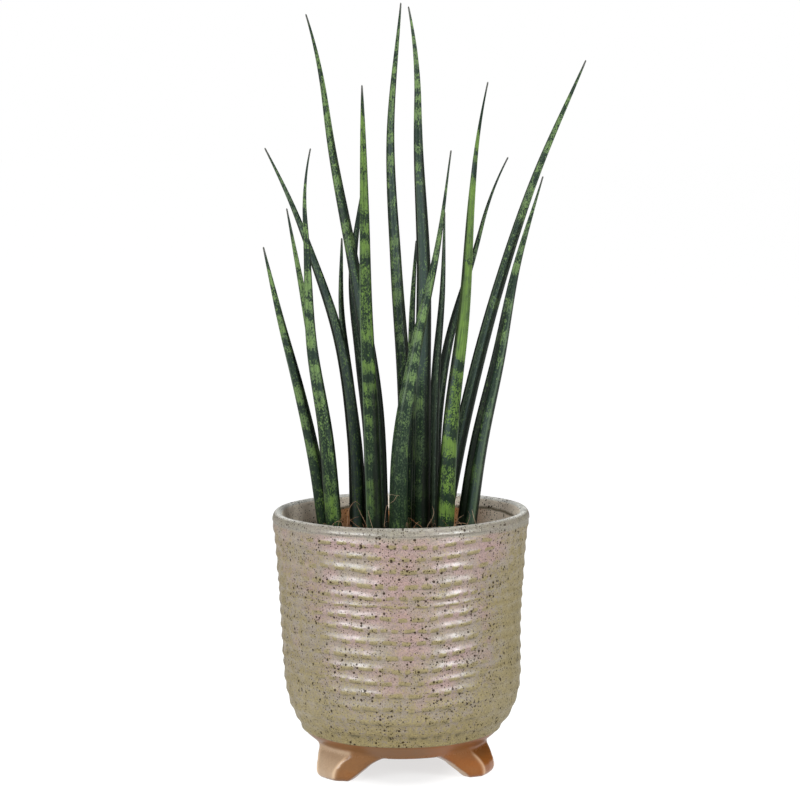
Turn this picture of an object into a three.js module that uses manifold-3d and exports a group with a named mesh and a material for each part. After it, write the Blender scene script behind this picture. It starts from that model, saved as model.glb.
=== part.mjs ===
// Cylindrical snake plant in a three-footed stoneware pot.
//
// Units are millimetres, +Z is up and the ground is z = 0. The model is first built
// round the pot's own axis, and is moved at the end so that the origin lies under
// the middle of the whole plant's bounding box.
//
// Nodes: pot (one fired piece with its three feet), soil, leaf_01 ... leaf_17.

import * as THREE from "three";
import { mergeVertices } from "three/addons/utils/BufferGeometryUtils.js";
import Module from "manifold-3d";

const wasm = await Module();
wasm.setup();

// ---------------------------------------------------------------- pot sizes

const POT_HEIGHT = 162.5; // rim crest above the ground
const RIM_RADIUS = 80; // outside of the wall just under the rim
const RIM_CREST_RADIUS = 77.3; // circle along the top of the rounded rim
const RIM_ROUNDING = 3.2; // radius of the rounded rim
const WALL = 5.6; // wall thickness, measured level
const FLOOR = 8; // floor thickness
const UNDERSIDE = 15.6; // height of the flat underside
const UNDERSIDE_RADIUS = 50.3;
const GAP = 0.35; // clearance between pieces that touch

// Outside of the bare wall: heights, and the radius at each.
const WALL_HEIGHTS = [UNDERSIDE, 22, 29, 36.5, 46, 60, 82, 115, 142, 155];
const WALL_RADII = [UNDERSIDE_RADIUS, 58.6, 63.6, 67.2, 70.2, 72.7, 74.2, 76.2, 78.2, RIM_RADIUS];

// Thrown ridges round the outside, unevenly spaced: each one swells slowly down to its
// crest and steps back sharply below it.
const RIDGE_CRESTS = [
  149.8, 142.6, 134.4, 125.1, 117.9, 113.3, 105.7, 98.4, 90.1, 81.6, 73, 65.9, 57.5, 48.9, 39.7, 31.8,
];
const RIDGE_STEP = 2.3; // height of the step under a crest
const RIDGE_HEIGHT = 1.1; // how far a crest stands out
const RIDGE_FADE_BELOW = 50; // under this height the ridges grow weaker
const DASH_COUNT = 30; // thumb-marked dashes round each ridge
const DASH_DEPTH = 0.35; // share of a crest that is lost between two dashes
const RIDGE_WANDER = 0.6; // rise and fall of a hand-thrown ridge round the pot
const POT_SIDES = 2 * DASH_COUNT;

// Feet: three splayed lugs under the pot, at these angles from +X. A foot is an oval
// at every height: how far it reaches outwards and inwards from the pot's axis, and its
// half-width across. Its top row is lost in the thickness of the floor.
const FOOT_ANGLES = [97.2, 217.2, 337.2];
const FOOT_HEIGHTS = [0, 1.5, 5, 9, 13, 16, 19, 22];
const FOOT_OUTER = [59, 61.5, 63, 62.6, 61, 59.3, 57.6, 56];
const FOOT_INNER = [42, 38.5, 34, 29.5, 24.5, 19.5, 17, 16];
const FOOT_WIDTH = [8, 10.5, 12.8, 13.8, 14.6, 16.4, 18.6, 20];
const FOOT_SIDES = 18;

// --------------------------------------------------------------- soil sizes

const SOIL_AT_WALL = 141; // height of the soil against the pot
const SOIL_MOUND = 148; // height of the soil between the leaves
const MOUND_RADIUS = 34; // the mound is level this far out
const SOIL_ROUGHNESS = 1; // rise and fall of the crumbly top
const SOIL_SEED = 7;

// --------------------------------------------------------------- leaf sizes

const LEAF_FOOT = 108; // lower end of each leaf, standing in the soil
const LEAF_START = 150; // each leaf stands straight up to here and leans above it
const LEAF_SIDES = 12;
const LEAF_ROWS = 15;
const TIP_RADIUS = 0.4;
const CHANNEL_DEPTH = 0.34; // depth of the channel, as a share of the leaf's radius
const CHANNEL_SPREAD = 0.42; // half-width of the channel, in radians
const TAPER_POWER = 1.6; // how soon a leaf starts to narrow
const HOOK_START = 0.82; // share of the height above which a hooked tip bends

// Each leaf: x of its middle at five even steps up from the soil, y at the soil and at
// the tip, height of the tip, thickness at the soil, how bluntly it tapers, sideways hook
// of the tip, and the compass direction that its channel faces.
const LEAVES = [
  { x: [-47, -53.5, -63, -74, -84], y: [-4, -30], top: 329, girth: 9, taper: 0.75, hook: 0, faces: 335 },
  { x: [-44.5, -47, -53, -61.2, -70.5], y: [8, -8], top: 352, girth: 8.5, taper: 0.75, hook: 0, faces: 10 },
  { x: [-41, -46, -55, -57.5, -60.5], y: [-17, -45], top: 389, girth: 10, taper: 1, hook: 6, faces: 350 },
  { x: [-27, -29.5, -38.5, -58.5, -83], y: [-6, 25], top: 389, girth: 9.5, taper: 0.8, hook: -2.5, faces: 205 },
  { x: [-25, -26.5, -32, -37.5, -37.5], y: [10, 38], top: 332, girth: 6, taper: 0.55, hook: 0, faces: 300 },
  { x: [-19, -19.5, -25.5, -30.5, -25], y: [24, 45], top: 361, girth: 9, taper: 0.55, hook: 0, faces: 300 },
  { x: [-12.5, -16, -29, -44, -54.5], y: [6, 40], top: 473, girth: 10, taper: 0.75, hook: -5.5, faces: 320 },
  { x: [-16.5, -18.5, -21.5, -22.5, -23.5], y: [-17, -45], top: 427, girth: 11, taper: 0.65, hook: 0, faces: 175 },
  { x: [4.5, 2.5, -3, -6.5, 0], y: [26, 60], top: 481, girth: 10, taper: 0.7, hook: 0, faces: 345 },
  { x: [6.5, 5, 6.5, 7, 9.5], y: [9, -5], top: 332, girth: 6.5, taper: 0.6, hook: 0, faces: 265 },
  { x: [12, 13, 14, 10.5, 10.5], y: [-6, -20], top: 475, girth: 12, taper: 0.75, hook: -6, faces: 195 },
  { x: [-1.5, 0, 9.5, 22, 30], y: [-21, -60], top: 388, girth: 12, taper: 1.2, hook: 0, faces: 15 },
  { x: [19, 20, 22, 26, 27.5], y: [4, 22], top: 349, girth: 7.5, taper: 0.8, hook: 0, faces: 250 },
  { x: [22, 22, 30.5, 47.5, 63], y: [25, 55], top: 383, girth: 8.5, taper: 1, hook: 5.5, faces: 275 },
  { x: [27, 30.5, 38.5, 43, 49.5], y: [-16, -40], top: 429, girth: 11.5, taper: 1, hook: 3, faces: 185 },
  { x: [26, 41, 60, 84.5, 116.5], y: [12, 35], top: 444, girth: 9.5, taper: 0.7, hook: 0, faces: 280 },
  { x: [40.5, 48.5, 60.5, 71, 86.5], y: [-3, -30], top: 372, girth: 12.5, taper: 1, hook: 0, faces: 240 },
];

// -------------------------------------------------------------------- tools

const radians = THREE.MathUtils.degToRad;

// A geometry with shared vertices and nothing but positions.
function weld(geometry) {
  geometry.deleteAttribute("normal");
  geometry.deleteAttribute("uv");
  return mergeVertices(geometry, 1e-4);
}

function toSolid(geometry) {
  const welded = weld(geometry);
  return new wasm.Manifold(
    new wasm.Mesh({
      numProp: 3,
      vertProperties: new Float32Array(welded.attributes.position.array),
      triVerts: new Uint32Array(welded.index.array),
    }),
  );
}

function toGeometry(solid) {
  const mesh = solid.getMesh();
  const geometry = new THREE.BufferGeometry();
  geometry.setAttribute("position", new THREE.BufferAttribute(mesh.vertProperties, 3));
  geometry.setIndex(new THREE.BufferAttribute(mesh.triVerts, 1));
  geometry.computeVertexNormals();
  return geometry;
}

// Moves every vertex to the place that a formula gives for it.
function reshape(geometry, formula) {
  const place = geometry.attributes.position;
  const point = new THREE.Vector3();
  for (let i = 0; i < place.count; i += 1) {
    formula(point.fromBufferAttribute(place, i));
    place.setXYZ(i, point.x, point.y, point.z);
  }
  return geometry;
}

// A profile of (radius, height) points turned about the Z axis.
function turned(profile, sides) {
  return new THREE.LatheGeometry(profile, sides).rotateX(Math.PI / 2);
}

function seededRandom(seed) {
  let state = seed;
  return () => {
    state = (state * 16807) % 2147483647;
    return state / 2147483647;
  };
}

// ---------------------------------------------------------------------- pot

const wallCurve = new THREE.CubicInterpolant(WALL_HEIGHTS, WALL_RADII, 1);
const wallRadius = (z) => wallCurve.evaluate(z)[0];

// Inside of the pot: the outside raised by the floor and drawn in by the wall.
const INNER_ROWS = [0, 7, 14, 22, 34, 50, 75, 100, 125]; // above the top of the floor
const RIM_LIP = POT_HEIGHT - RIM_ROUNDING; // where the straight wall gives way to the rim

function innerProfile() {
  return INNER_ROWS.map((rise) => {
    const z = UNDERSIDE + rise;
    return new THREE.Vector2(wallRadius(z) - WALL, z + FLOOR);
  });
}

function ridgeFade(z) {
  return THREE.MathUtils.smoothstep(z, UNDERSIDE + 6, RIDGE_FADE_BELOW);
}

function potProfile() {
  const outside = [new THREE.Vector2(0, UNDERSIDE), new THREE.Vector2(UNDERSIDE_RADIUS, UNDERSIDE)];
  for (const crest of RIDGE_CRESTS.toReversed()) {
    const below = crest - RIDGE_STEP;
    outside.push(new THREE.Vector2(wallRadius(below), below));
    outside.push(new THREE.Vector2(wallRadius(crest) + RIDGE_HEIGHT * ridgeFade(crest), crest));
  }
  const rim = new THREE.EllipseCurve(
    RIM_CREST_RADIUS, RIM_LIP, RIM_ROUNDING, RIM_ROUNDING, 0, Math.PI, false, 0,
  );
  const inside = innerProfile().reverse();
  return [...outside, ...rim.getPoints(6), ...inside, new THREE.Vector2(0, UNDERSIDE + FLOOR)];
}

// Breaks each ridge's crest into dashes and lets the ridges wander a little.
function roughenWall(point) {
  const radius = Math.hypot(point.x, point.y);
  const row = RIDGE_CRESTS.findIndex((crest) => Math.abs(crest - point.z) < 1e-3);
  if (row < 0) {
    return;
  }
  const angle = Math.atan2(point.y, point.x);
  const dash = 0.5 - 0.5 * Math.cos(DASH_COUNT * angle + Math.PI * row);
  const lost = DASH_DEPTH * dash * RIDGE_HEIGHT * ridgeFade(point.z);
  const scale = (radius - lost) / radius;
  point.x *= scale;
  point.y *= scale;
  point.z += RIDGE_WANDER * Math.sin(2 * angle + 1.7 * row);
}

// One foot: a rounded lug that spreads into the underside and ends in a flat pad.
function footGeometry(angle) {
  const rows = FOOT_HEIGHTS.length - 1;
  const lug = new THREE.CylinderGeometry(1, 1, rows, FOOT_SIDES, rows).rotateX(Math.PI / 2);
  reshape(lug, (point) => {
    const row = Math.round(point.z + rows / 2);
    const middle = (FOOT_OUTER[row] + FOOT_INNER[row]) / 2;
    const reach = (FOOT_OUTER[row] - FOOT_INNER[row]) / 2;
    point.set(middle + point.x * reach, point.y * FOOT_WIDTH[row], FOOT_HEIGHTS[row]);
  });
  return lug.rotateZ(radians(angle));
}

function potGeometry() {
  const body = toSolid(reshape(turned(potProfile(), POT_SIDES), roughenWall));
  const feet = FOOT_ANGLES.map((angle) => toSolid(footGeometry(angle)));
  return toGeometry(feet.reduce((pot, foot) => pot.add(foot), body));
}

// --------------------------------------------------------------------- soil

const SOIL_RINGS = [0.94, 0.84, 0.72, 0.6, 0.48, 0.36, 0.24, 0.12];

function soilHeight(radius) {
  const share = THREE.MathUtils.smoothstep(radius, MOUND_RADIUS, wallRadius(SOIL_AT_WALL) - WALL);
  return THREE.MathUtils.lerp(SOIL_MOUND, SOIL_AT_WALL, share);
}

function soilGeometry() {
  const sides = innerProfile()
    .filter((point) => point.y < SOIL_AT_WALL - 5)
    .map((point) => new THREE.Vector2(point.x - GAP, point.y + GAP));
  const edge = wallRadius(SOIL_AT_WALL - FLOOR) - WALL - GAP;
  const top = [1, ...SOIL_RINGS].map((share) => {
    return new THREE.Vector2(edge * share, soilHeight(edge * share));
  });
  const profile = [
    new THREE.Vector2(0, sides[0].y), ...sides, ...top, new THREE.Vector2(0, SOIL_MOUND),
  ];
  const random = seededRandom(SOIL_SEED);
  const block = weld(turned(profile, POT_SIDES / 2));
  reshape(block, (point) => {
    const lift = SOIL_ROUGHNESS * (2 * random() - 1);
    if (point.z > SOIL_AT_WALL + 0.5) {
      point.z += lift;
    }
  });
  let soil = toSolid(block);
  for (const leaf of LEAVES) {
    soil = soil.subtract(toSolid(leafHole(leaf)));
  }
  return toGeometry(soil);
}

// A plain round hole that a leaf's lower end stands in.
function leafHole(leaf) {
  const sides = 14;
  const radius = (leaf.girth / 2 + GAP) / Math.cos(Math.PI / sides);
  const depth = LEAF_START + 10 - (LEAF_FOOT - GAP);
  return new THREE.CylinderGeometry(radius, radius, depth, sides)
    .rotateX(Math.PI / 2)
    .translate(leaf.x[0], leaf.y[0], LEAF_FOOT - GAP + depth / 2);
}

// ------------------------------------------------------------------- leaves

// The line along the middle of a leaf, from 0 at the soil to 1 at the tip.
function leafLine(leaf) {
  const steps = leaf.x.length - 1;
  const lean = (t) => 0.45 * t + 0.55 * t * t;
  const points = leaf.x.map((x, i) => {
    const t = i / steps;
    const y = THREE.MathUtils.lerp(leaf.y[0], leaf.y[1], lean(t));
    return new THREE.Vector3(x, y, THREE.MathUtils.lerp(LEAF_START, leaf.top, t));
  });
  return new THREE.CatmullRomCurve3(points, false, "catmullrom", 0.5);
}

function leafRadius(leaf, t) {
  return Math.max(TIP_RADIUS, (leaf.girth / 2) * (1 - t ** TAPER_POWER) ** leaf.taper);
}

// Radius of the rounded, channelled section, as a share, at an angle from the channel.
function sectionShare(angle) {
  return 1 - CHANNEL_DEPTH * Math.exp(-((angle / CHANNEL_SPREAD) ** 2));
}

function leafGeometry(leaf) {
  const line = leafLine(leaf);
  const blade = new THREE.CylinderGeometry(1, 1, 1, LEAF_SIDES, LEAF_ROWS).rotateX(Math.PI / 2);
  const towards = radians(leaf.faces);
  const facing = new THREE.Vector3(Math.cos(towards), Math.sin(towards), 0);
  return reshape(weld(blade), (point) => {
    const row = Math.round((point.z + 0.5) * LEAF_ROWS); // row 0 is the buried end
    const t = Math.max(0, (row - 1) / (LEAF_ROWS - 1));
    const middle = line.getPoint(t);
    middle.x += leaf.hook * Math.max(0, (t - HOOK_START) / (1 - HOOK_START)) ** 2;
    const along = row < 2 ? new THREE.Vector3(0, 0, 1) : line.getTangent(t);
    if (row === 0) {
      middle.z = LEAF_FOOT;
    }
    const angle = Math.atan2(point.y, point.x);
    const spread = Math.hypot(point.x, point.y);
    const radius = spread * leafRadius(leaf, t) * sectionShare(angle);
    const front = facing.clone().addScaledVector(along, -facing.dot(along)).normalize();
    const side = new THREE.Vector3().crossVectors(along, front);
    point
      .copy(middle)
      .addScaledVector(front, radius * Math.cos(angle))
      .addScaledVector(side, radius * Math.sin(angle));
  });
}

// ----------------------------------------------------------------- assembly

const glaze = new THREE.MeshStandardMaterial({ color: 0xb5a594, roughness: 0.25, metalness: 0 });
const earth = new THREE.MeshStandardMaterial({ color: 0x5a3a26, roughness: 0.95, metalness: 0 });

function leafMaterial(index) {
  const green = new THREE.Color(0x4a7034).lerp(new THREE.Color(0x27423a), (index * 5) % 7 / 7);
  return new THREE.MeshStandardMaterial({ color: green, roughness: 0.45, metalness: 0 });
}

function named(name, geometry, material) {
  const mesh = new THREE.Mesh(geometry, material);
  mesh.name = name;
  return mesh;
}

const plant = new THREE.Group();
plant.add(named("pot", potGeometry(), glaze));
plant.add(named("soil", soilGeometry(), earth));
LEAVES.forEach((leaf, index) => {
  const name = `leaf_${String(index + 1).padStart(2, "0")}`;
  plant.add(named(name, leafGeometry(leaf), leafMaterial(index)));
});

// Stand the model with the middle of its bounding box over the origin.
const box = new THREE.Box3().setFromObject(plant, true);
const middle = box.getCenter(new THREE.Vector3());
plant.position.set(-middle.x, -middle.y, 0);

const model = new THREE.Group();
model.add(plant);

export default model;
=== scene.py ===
import math
import random

import bmesh
import bpy
import numpy as np
from mathutils import Matrix, Vector, noise


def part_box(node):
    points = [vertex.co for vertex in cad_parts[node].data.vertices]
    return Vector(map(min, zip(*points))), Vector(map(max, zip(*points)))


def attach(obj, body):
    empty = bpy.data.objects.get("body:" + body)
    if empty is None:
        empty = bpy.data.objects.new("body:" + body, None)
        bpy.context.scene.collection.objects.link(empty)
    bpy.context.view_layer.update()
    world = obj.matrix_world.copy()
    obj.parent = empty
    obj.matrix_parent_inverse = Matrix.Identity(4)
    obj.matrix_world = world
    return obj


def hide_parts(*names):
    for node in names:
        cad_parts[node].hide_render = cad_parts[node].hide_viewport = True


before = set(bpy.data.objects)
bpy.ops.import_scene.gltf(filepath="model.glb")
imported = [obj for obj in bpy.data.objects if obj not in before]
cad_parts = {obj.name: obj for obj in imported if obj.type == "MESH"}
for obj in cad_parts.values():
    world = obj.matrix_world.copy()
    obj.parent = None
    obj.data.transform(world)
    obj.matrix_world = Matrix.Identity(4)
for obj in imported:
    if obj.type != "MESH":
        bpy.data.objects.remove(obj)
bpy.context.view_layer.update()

bl_info = {
    "name": "Potted cylindrical snake plant",
    "version": (1, 0, 0),
    "blender": (4, 5, 0),
    "location": "3D View > Sidebar > Snake Plant",
    "description": "Dresses the packed snake plant: glazed pot, clay base, soil, coir and leaves",
    "category": "Object",
}

POT_LOW, POT_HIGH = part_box("pot")

# Shapes are worked out in millimetres round the pot's own axis, with the ground at z = 0,
# and are brought to the frame's metres and place when a piece is finished.
MM = 0.001
AXIS = Vector(((POT_LOW.x + POT_HIGH.x) / 2, (POT_LOW.y + POT_HIGH.y) / 2, 0))
TO_FRAME = Matrix.Translation(AXIS) @ Matrix.Scale(MM, 4)


# ---------------------------- settings


def length(name, description, millimetres):
    return bpy.props.FloatProperty(
        name=name, description=description, default=millimetres * MM, unit="LENGTH", precision=5
    )


def colour(name, description, rgb):
    return bpy.props.FloatVectorProperty(
        name=name, description=description, default=rgb, size=3, subtype="COLOR", min=0, max=1
    )


def number(name, description, default):
    return bpy.props.FloatProperty(name=name, description=description, default=default, min=0)


def count(name, description, default):
    return bpy.props.IntProperty(name=name, description=description, default=default, min=0)


class PotSettings(bpy.types.PropertyGroup):
    """Sizes and colours of the stoneware pot."""

    height: length("Height", "Top of the rim above the ground", POT_HIGH.z / MM)
    wall: length("Wall", "Thickness of the wall, measured level", 5.6)
    ridge_slope: number("Ridge slope", "How far a ridge's upper face leans out, in degrees", 13.0)
    dash: length("Stroke", "Mean length of an olive stroke along a crest", 7.6)
    dash_gap: length("Stroke gap", "Mean gap between two strokes", 2.2)
    sides: count("Sides", "Faces round the pot", 480)
    blush: colour("Blush", "Pink of the glaze where it lies thick", (0.22, 0.146, 0.133))
    stone: colour("Stone", "Grey-brown of the glaze", (0.178, 0.145, 0.112))
    olive: colour("Olive", "Green-brown of the glaze where it breaks over a crest", (0.163, 0.128, 0.055))
    rim: colour("Rim", "Grey-green of the rim", (0.168, 0.155, 0.125))
    # painted reflection: the bright room mirrored in the rim's top, strongest at the back and sides
    brim: colour("Brim", "Pale grey of the rim's top, where the glaze is thin", (0.64, 0.62, 0.57))
    lining: colour("Lining", "Warm grey of the glaze inside the pot", (0.8, 0.7, 0.57))
    speck: colour("Speck", "Iron specks in the glaze", (0.02, 0.011, 0.006))
    clay: colour("Clay", "Bare fired clay under clear glaze", (0.145, 0.066, 0.024))
    # painted light: a pale tan laid on the base's faces that turn to the left, towards the main light,
    # and doubled for the crease highlights
    base_glare: colour("Buff", "Milky bloom of the clear glaze over the clay", (0.33, 0.235, 0.155))
    rust: colour("Rust", "Redder patches of the fired clay", (0.185, 0.06, 0.012))


class SoilSettings(bpy.types.PropertyGroup):
    """Sizes and colours of the soil and its coir."""

    at_wall: length("At the wall", "Height of the soil against the pot", 141)
    mound: length("Mound", "Height of the soil between the leaves", 148)
    chips: count("Chips", "Bark chips lying on the soil", 420)
    fibres: count("Fibres", "Loose coir fibres", 240)
    earth: colour("Earth", "Damp soil", (0.045, 0.022, 0.012))
    coir: colour("Coir", "Orange-brown of a coir fibre", (0.22, 0.08, 0.028))
    straw: colour("Straw", "Pale, dry fibre", (0.33, 0.24, 0.15))


class LeafSettings(bpy.types.PropertyGroup):
    """Colours of the leaves."""

    deep: colour("Deep", "Blue-green of the dark cross-bands", (0.006, 0.0145, 0.007))
    moss: colour("Moss", "Middle green", (0.027, 0.045, 0.021))
    bright: colour("Bright", "Fresh green of the light bands", (0.076, 0.13, 0.023))
    # painted sheen: blue-grey laid along the middle of the dark leaves, standing in for light that the
    # waxy skin reflects
    sheen_slate: colour("Slate", "Blue-grey bloom along the middle of a dark leaf", (0.027, 0.041, 0.036))
    # painted sheen: a pale bloom over the light bands, standing in for light that the waxy skin reflects
    haze: colour("Haze", "Waxy bloom over the light bands of the older leaves", (0.2, 0.24, 0.23))
    margin: colour("Margin", "Pale line along a furrow's edge", (0.085, 0.115, 0.075))
    # painted shade, laid on the leaves' flanks that turn from the light and in the bottoms of their
    # furrows
    shade: colour("Shade", "Near-black of the flanks", (0.0025, 0.004, 0.002))
    dry: colour("Dry", "Dead skin at the tip", (0.06, 0.06, 0.052))
    sides: count("Sides", "Faces round a leaf", 48)
    rows: count("Rows", "Faces along a leaf", 240)


class StageSettings(bpy.types.PropertyGroup):
    """Camera, lights and floor."""

    distance: length("Distance", "Camera to the pot's axis, measured level", 1757)
    eye: length("Eye", "Camera above the ground", 396.6)
    aside: length("Aside", "Camera to the right of the pot's axis", -0.56)
    pitch: number("Pitch", "How far the camera looks down, in degrees", 5.34)
    focal: number("Focal length", "Millimetres, on a sensor 36 mm wide", 127.27)
    left_box: number("Left softbox", "Power of the softbox at front left, in watts", 23.5)
    right_box: number("Right softbox", "Power of the softbox at front right, in watts", 21)
    top_box: number("Top softbox", "Power of the softbox overhead, in watts", 10)
    front: number("Room light", "Strength of the room's light from the lower right", 0.05)
    back: number("Skylight", "Strength of the room's light from the upper left", 0.68)
    floor: colour("Floor", "Plain pale floor", (0.22, 0.22, 0.22))
    # The floor glows less under the pot than far from it, which paints the pot's shadow on the floor.
    glow: number("Floor glow", "Floor's light from below under the pot, as on a light table", 0.69)
    far_glow: number("Far glow", "The same far from the pot", 0.9)


SETTINGS = {
    "plant_pot": PotSettings,
    "plant_soil": SoilSettings,
    "plant_leaf": LeafSettings,
    "plant_stage": StageSettings,
}


# ---------------------------- tools


def smooth(low, high, x):
    """0 below low, 1 above high and a soft step between, for numbers and arrays."""
    t = np.clip((x - low) / (high - low), 0, 1)
    return t * t * (3 - 2 * t)


def lerp(a, b, t):
    return a + (b - a) * t


def bump_of(x, centre, width):
    """A bell of height 1 round centre."""
    return np.exp(-(((x - centre) / width) ** 2))


def wrap(degrees):
    """Brings angles in degrees to -180 ... 180."""
    return (degrees + 180) % 360 - 180


def bearing_of(angle):
    """Degrees from the front, above 0 to the right, of an angle round the z axis."""
    return wrap(np.degrees(angle) + 90)


class Curve:
    """A smooth curve through (x, y) pairs, level past its ends, with slopes as in the CAD wall."""

    def __init__(self, xs, ys):
        self.xs, self.ys = np.array(xs, float), np.array(ys, float)
        slopes = np.diff(self.ys) / np.diff(self.xs)
        inner = (self.ys[2:] - self.ys[:-2]) / (self.xs[2:] - self.xs[:-2])
        self.slopes = np.concatenate([slopes[:1], inner, slopes[-1:]])

    def __call__(self, x):
        x = np.clip(x, self.xs[0], self.xs[-1])
        i = np.clip(np.searchsorted(self.xs, x) - 1, 0, len(self.xs) - 2)
        step = self.xs[i + 1] - self.xs[i]
        t = (x - self.xs[i]) / step
        h00, h10 = (1 + 2 * t) * (1 - t) ** 2, t * (1 - t) ** 2
        h01, h11 = t * t * (3 - 2 * t), t * t * (t - 1)
        return (
            h00 * self.ys[i]
            + h10 * step * self.slopes[i]
            + h01 * self.ys[i + 1]
            + h11 * step * self.slopes[i + 1]
        )


def spun(profile, sides):
    """A closed solid of revolution: (radius, height) pairs that start and end on the axis.

    The vertex layer "row" keeps each vertex's place along the profile."""
    bm = bmesh.new()
    row = bm.verts.layers.float.new("row")
    line = []
    for i, (radius, z) in enumerate(profile):
        vert = bm.verts.new((radius, 0, z))
        vert[row] = i
        line.append(vert)
    edges = [bm.edges.new(pair) for pair in zip(line, line[1:])]
    bmesh.ops.spin(
        bm, geom=line + edges, cent=(0, 0, 0), axis=(0, 0, 1), dvec=(0, 0, 0),
        angle=math.tau, steps=sides, use_merge=True, use_duplicate=False,
    )
    bmesh.ops.remove_doubles(bm, verts=bm.verts, dist=1e-4)
    bmesh.ops.recalc_face_normals(bm, faces=bm.faces)
    return bm


def rod(sides, rows):
    """A closed rod of radius 1 from z = 0 to z = 1, cut into rows along its length."""
    bm = bmesh.new()
    made = bmesh.ops.create_cone(
        bm, cap_ends=True, segments=sides, radius1=1, radius2=1, depth=1,
        matrix=Matrix.Translation((0, 0, 0.5)),
    )
    sideways = {v: round(v.co.z) for v in made["verts"]}
    upright = [e for e in bm.edges if sideways[e.verts[0]] != sideways[e.verts[1]]]
    bmesh.ops.subdivide_edges(bm, edges=upright, cuts=rows - 1, use_grid_fill=True)
    return bm


def copy_in(bm, pattern):
    """Adds a mesh to bm, which must never have lost a vertex, and returns its new vertices."""
    before = len(bm.verts)
    bm.from_mesh(pattern)
    bm.verts.ensure_lookup_table()
    return bm.verts[before:]


def as_mesh(bm, name):
    mesh = bpy.data.meshes.new(name)
    bm.to_mesh(mesh)
    bm.free()
    return mesh


def add_object(name, data):
    made = bpy.data.objects.new(name, data)
    bpy.context.scene.collection.objects.link(made)
    return made


def finish_piece(bm, name, material, nodes, attributes=()):
    """Turns a bmesh in millimetres into a piece in the frame, with its material, and hides the CAD nodes
    that it replaces.
    """
    bm.transform(TO_FRAME)
    mesh = as_mesh(bm, name)
    mesh.shade_smooth()
    for title, values in attributes:
        values = np.asarray(values, np.float32)
        kind = "FLOAT_VECTOR" if values.ndim == 2 else "FLOAT"
        layer = mesh.attributes.new(title, kind, "POINT")
        layer.data.foreach_set("vector" if values.ndim == 2 else "value", values.ravel())
    piece = add_object(name, mesh)
    mesh.materials.append(material)
    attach(piece, "root")
    if nodes:
        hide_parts(*nodes)
    return piece


def places(bm):
    """The vertices' places as an array, and their angles round the z axis."""
    co = np.array([v.co for v in bm.verts])
    return co, np.arctan2(co[:, 1], co[:, 0])


def move(bm, co):
    for vert, place in zip(bm.verts, co):
        vert.co = place


# ---------------------------- materials


class Field:
    """A node's output that takes part in sums and products as a number does."""

    def __init__(self, nodes, socket):
        self.nodes, self.socket = nodes, socket

    def __add__(self, other):
        return self.nodes.calc("ADD", self, other)

    def __mul__(self, other):
        return self.nodes.calc("MULTIPLY", self, other)

    def __sub__(self, other):
        return self.nodes.calc("SUBTRACT", self, other)

    def __rsub__(self, other):
        return self.nodes.calc("SUBTRACT", other, self)

    __radd__, __rmul__ = __add__, __mul__

    def beside(self, name):
        """Another output of the same node."""
        return Field(self.nodes, self.socket.node.outputs[name])


class Nodes:
    """Adds nodes to a tree, their inputs given by name or number."""

    def __init__(self, tree):
        self.tree = tree

    def node(self, kind, inputs=(), output=0, **settings):
        made = self.tree.nodes.new(kind)
        for key, value in settings.items():
            setattr(made, key, value)
        for key, value in dict(inputs).items():
            self.feed(made.inputs[key], value)
        return Field(self, made.outputs[output])

    def feed(self, socket, value):
        if isinstance(value, Field):
            self.tree.links.new(value.socket, socket)
        elif socket.type == "RGBA" and len(value) == 3:
            socket.default_value = (*value, 1)
        else:
            socket.default_value = value

    def calc(self, operation, a, b):
        return self.node("ShaderNodeMath", {0: a, 1: b}, operation=operation)

    def vector(self, operation, a, b, output="Vector"):
        return self.node("ShaderNodeVectorMath", {0: a, 1: b}, output, operation=operation)

    def step(self, low, high, x, start=0.0, end=1.0):
        """A soft step from start at x = low to end at x = high."""
        inputs = {"Value": x, "From Min": low, "From Max": high, "To Min": start, "To Max": end}
        return self.node("ShaderNodeMapRange", inputs, interpolation_type="SMOOTHSTEP")


class Paint(Nodes):
    """Builds one material. Sizes of lumps and bumps are in millimetres."""

    def __init__(self, name):
        self.material = bpy.data.materials.new(name)
        self.material.use_nodes = True
        super().__init__(self.material.node_tree)
        self.place = self.node("ShaderNodeTexCoord", output="Object")

    def attribute(self, name, output="Fac"):
        return self.node("ShaderNodeAttribute", output=output, attribute_name=name)

    def along(self, axis):
        return self.node("ShaderNodeSeparateXYZ", {0: self.place}, axis)

    def noise(self, vector, size, detail=2.0, roughness=0.5, output="Fac"):
        inputs = {"Vector": vector, "Scale": 1 / (size * MM), "Detail": detail, "Roughness": roughness}
        return self.node("ShaderNodeTexNoise", inputs, output)

    def lumps(self, size, detail=2.0, roughness=0.5):
        return self.noise(self.place, size, detail, roughness)

    def mix(self, factor, a, b, blend="MIX"):
        inputs = {"Factor": factor, 6: a, 7: b}
        return self.node("ShaderNodeMix", inputs, 2, data_type="RGBA", blend_type=blend)

    def tint(self, body, pattern, dark, light):
        """The colour times dark where the pattern is low, and times light where it is high."""
        return self.mix(1.0, body, self.mix(pattern, dark, light), "MULTIPLY")

    def bump(self, height, distance, strength):
        inputs = {"Height": height, "Distance": distance * MM, "Strength": strength}
        return self.node("ShaderNodeBump", inputs)

    def surface(self, **sockets):
        """Feeds the shader and returns the finished material."""
        shader = self.tree.nodes["Principled BSDF"]
        for key, value in sockets.items():
            self.feed(shader.inputs[key.replace("_", " ")], value)
        return self.material


def scaled(rgb, factor):
    return [factor * c for c in rgb]


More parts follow.
